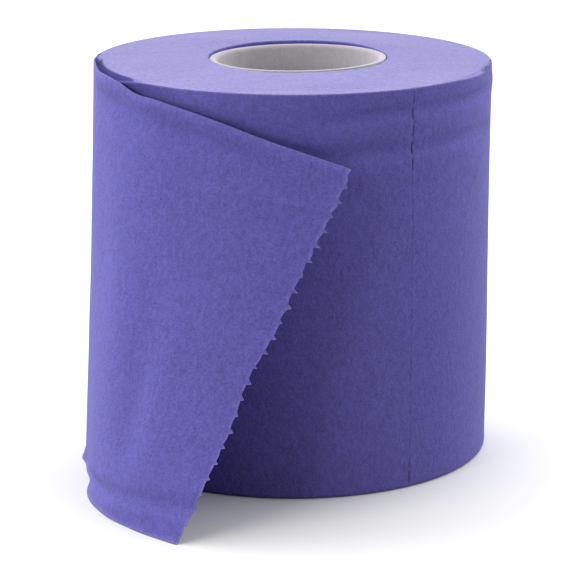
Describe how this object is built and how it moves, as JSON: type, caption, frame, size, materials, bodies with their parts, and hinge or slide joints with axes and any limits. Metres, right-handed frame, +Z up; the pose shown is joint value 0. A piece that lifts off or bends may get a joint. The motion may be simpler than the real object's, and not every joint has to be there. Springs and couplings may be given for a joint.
{
  "type": "toilet paper roll",
  "caption": "Purple toilet paper roll standing on its end, wound on a pale card tube, with its torn loose end pulled away to the front left.",
  "frame": {"origin": "on the axis of the card tube, in the plane of the end that the roll stands on", "axes": "+Z up along the card tube; the loose end leaves on the left, at -X, and comes round to the front, at -Y"},
  "size_m": [0.1022, 0.131, 0.1],
  "materials": {
    "tube_card": "matt grey-white card",
    "tissue": "matt purple crepe tissue"
  },
  "bodies": {
    "root": {"core_tube": "tube_card", "paper_web": "tissue"}
  },
  "joints": []
}
